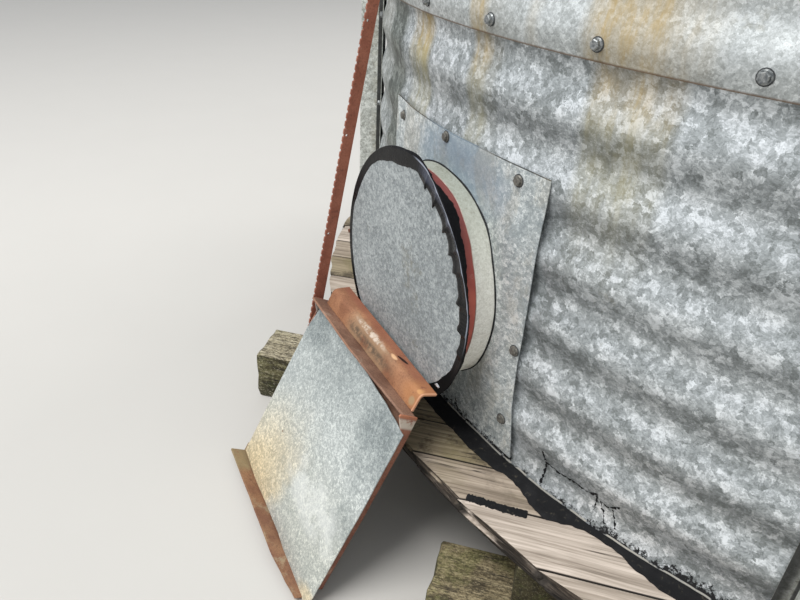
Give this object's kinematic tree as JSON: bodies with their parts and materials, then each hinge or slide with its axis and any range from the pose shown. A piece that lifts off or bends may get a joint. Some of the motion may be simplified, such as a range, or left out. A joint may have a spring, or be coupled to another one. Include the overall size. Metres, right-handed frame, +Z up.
{
  "type": "grain silo",
  "caption": "Small round galvanised grain silo with a cone roof on a timber deck, a capped air inlet low on its wall, a leaning sheet-metal stand and a notched steel bar.",
  "frame": {"origin": "on the silo's upright axis at ground level, on the underside of the middle sleeper", "axes": "+Z up along the silo's axis, -Y out through the air inlet, +X to the right for someone facing the inlet"},
  "size_m": [3.8308, 3.9118, 4.654],
  "materials": {
    "sheet": "weathered galvanised sheet with a large spangle and thin rust streaks",
    "plate": "duller bluish galvanised plate with a fine spangle",
    "timber": "grey weathered boards with tar along the wall",
    "sleeper": "rough old timber with green moss",
    "rust": "red-oxide paint rusted through",
    "redPaint": "dusty red paint",
    "black": "black tape and tar, slightly shiny",
    "beige": "pale galvanised duct sheet with a raw bright edge"
  },
  "bodies": {
    "root": {"sleeper_1": "sleeper", "sleeper_2": "sleeper", "sleeper_3": "sleeper", "sleeper_4": "sleeper", "sleeper_5": "sleeper", "bearer_1": "sleeper", "bearer_2": "sleeper", "bearer_3": "sleeper", "bearer_4": "sleeper", "bearer_5": "sleeper", "bearer_6": "sleeper", "bearer_7": "sleeper", "deck_boards": "timber", "base_seal": "black", "wall_ring_1_sheet_1": "sheet", "wall_ring_1_sheet_2": "sheet", "wall_ring_1_sheet_3": "sheet", "wall_ring_2_sheet_1": "sheet", "wall_ring_2_sheet_2": "sheet", "wall_ring_2_sheet_3": "sheet", "wall_ring_3_sheet_1": "sheet", "wall_ring_3_sheet_2": "sheet", "wall_ring_3_sheet_3": "sheet", "wall_ring_4_sheet_1": "sheet", "wall_ring_4_sheet_2": "sheet", "wall_ring_4_sheet_3": "sheet", "stiffener_1": "sheet", "stiffener_2": "sheet", "stiffener_3": "sheet", "stiffener_4": "sheet", "stiffener_5": "sheet", "stiffener_6": "sheet", "roof_sector_1": "sheet", "roof_sector_2": "sheet", "roof_sector_3": "sheet", "roof_sector_4": "sheet", "roof_sector_5": "sheet", "roof_sector_6": "sheet", "roof_neck": "sheet", "roof_lid": "sheet", "inlet_plate": "plate", "inlet_collar": "beige", "inlet_flange": "redPaint", "inlet_cover": "plate", "inlet_band": "black", "stand_panel": "plate", "stand_left_angle": "rust", "stand_right_angle": "rust", "stand_shelf_angle": "rust", "stand_top_angle": "rust", "stand_foot_angle": "rust", "notched_bar": "rust"}
  },
  "joints": []
}
